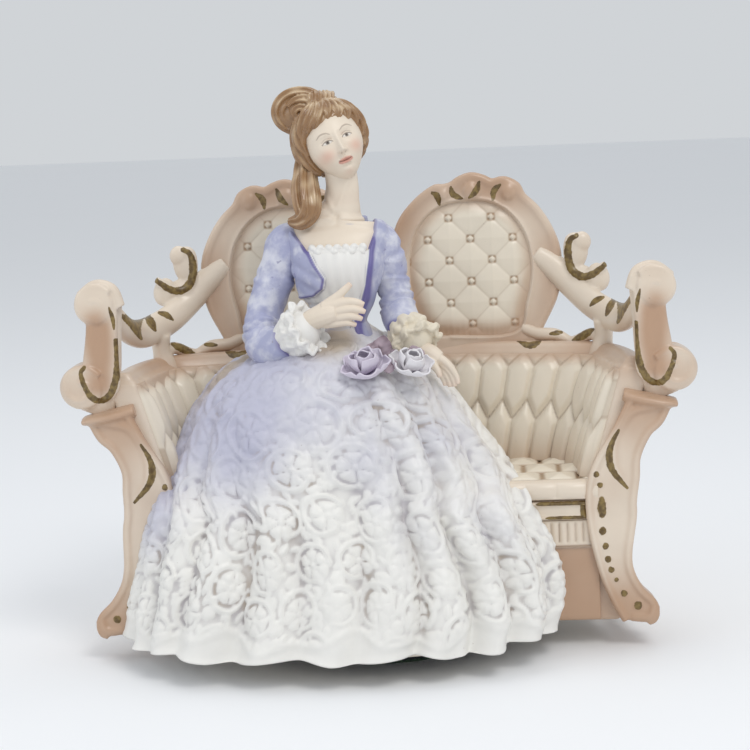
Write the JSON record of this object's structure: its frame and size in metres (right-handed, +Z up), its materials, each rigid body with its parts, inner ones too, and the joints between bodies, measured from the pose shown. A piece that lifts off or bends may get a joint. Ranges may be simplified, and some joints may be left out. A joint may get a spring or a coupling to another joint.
{
  "type": "revolving porcelain figurine",
  "caption": "Bisque porcelain lady in a relief-flowered gown on a gilded settee with balloon medallion backs, turning on a wind-up musical foot.",
  "frame": {"origin": "centre of the felt pad's underside on the table, on the spindle axis", "axes": "+X to the seated lady's left along the settee, +Y to the back of the settee, +Z up"},
  "size_m": [0.23, 0.1248, 0.2067],
  "materials": {
    "bisque_settee": "unglazed bisque, matt, peach-beige with fired gilding",
    "bisque_upholstery": "unglazed bisque, matt, cream with brown wash in the tufts",
    "bisque_gown": "unglazed bisque, matt, lavender-blue fading to white",
    "bisque_bodice": "unglazed bisque, matt, blue-lavender",
    "bisque_lace": "unglazed bisque, matt, white",
    "bisque_skin": "unglazed bisque, matt, tinted",
    "bisque_hair": "unglazed bisque, matt, light brown",
    "bisque_flowers": "unglazed bisque, matt, lavender and white",
    "felt": "pressed felt",
    "foot_plastic": "moulded, satin",
    "cover_plastic": "moulded, satin",
    "brass": "turned, satin",
    "steel": "ground, satin",
    "zinc_bedplate": "die-cast, as cast"
  },
  "bodies": {
    "foot": {"foot_pad": "felt", "foot_disc": "foot_plastic", "spindle_nut": "brass", "spindle": "steel", "crown_wheel": "brass"},
    "figurine": {"back_upholstery": "bisque_upholstery", "bedplate": "zinc_bedplate", "bodice": "bisque_bodice", "bottom_cover": "cover_plastic", "bust": "bisque_skin", "comb": "steel", "comb_screws": "steel", "cover_screws": "steel", "governor_bracket": "brass", "gown_skirt": "bisque_gown", "hair": "bisque_hair", "head": "bisque_skin", "lavender_rose": "bisque_flowers", "left_arm_post": "bisque_settee", "left_arm_rail": "bisque_settee", "left_arm_scroll": "bisque_settee", "left_cuff": "bisque_lace", "left_hand": "bisque_skin", "left_medallion_frame": "bisque_settee", "left_medallion_panel": "bisque_upholstery", "left_sleeve": "bisque_bodice", "mainspring": "steel", "movement_screws": "steel", "porcelain_floor": "bisque_settee", "right_arm_post": "bisque_settee", "right_arm_rail": "bisque_settee", "right_arm_scroll": "bisque_settee", "right_cuff": "bisque_lace", "right_hand": "bisque_skin", "right_medallion_frame": "bisque_settee", "right_medallion_panel": "bisque_upholstery", "right_sleeve": "bisque_bodice", "rose_leaves": "bisque_flowers", "seat_cushion": "bisque_upholstery", "seat_front": "bisque_settee", "settee_base": "bisque_settee", "shoulder_curl": "bisque_hair", "spring_housing": "zinc_bedplate", "white_rose": "bisque_flowers"},
    "cylinder": {"cylinder": "brass", "cylinder_arbor": "steel", "cylinder_pinion": "steel", "cylinder_wheel": "brass"},
    "idler": {"idler_arbor": "steel", "idler_pinion": "steel", "worm_wheel": "brass"},
    "governor": {"governor_worm": "steel", "governor_fan": "brass"}
  },
  "joints": [
    {"name": "revolve", "type": "hinge", "parent": "foot", "child": "figurine", "pos_m": [0, 0, 0.008], "axis": [0, 0, 1], "continuous": true},
    {"name": "cylinder_spin", "type": "hinge", "parent": "figurine", "child": "cylinder", "pos_m": [0.0247, 0, 0.02026], "axis": [1, 0, 0], "continuous": true},
    {"name": "idler_spin", "type": "hinge", "parent": "figurine", "child": "idler", "pos_m": [0.0334, 0.00749, 0.02299], "axis": [1, 0, 0], "continuous": true},
    {"name": "governor_spin", "type": "hinge", "parent": "figurine", "child": "governor", "pos_m": [0.0347, 0.01279, 0.02359], "axis": [0, 0, 1], "continuous": true}
  ],
  "couplings": [
    {"joint": "cylinder_spin", "follows": "revolve", "ratio": -3.5},
    {"joint": "idler_spin", "follows": "revolve", "ratio": 14},
    {"joint": "governor_spin", "follows": "revolve", "ratio": -280}
  ]
}
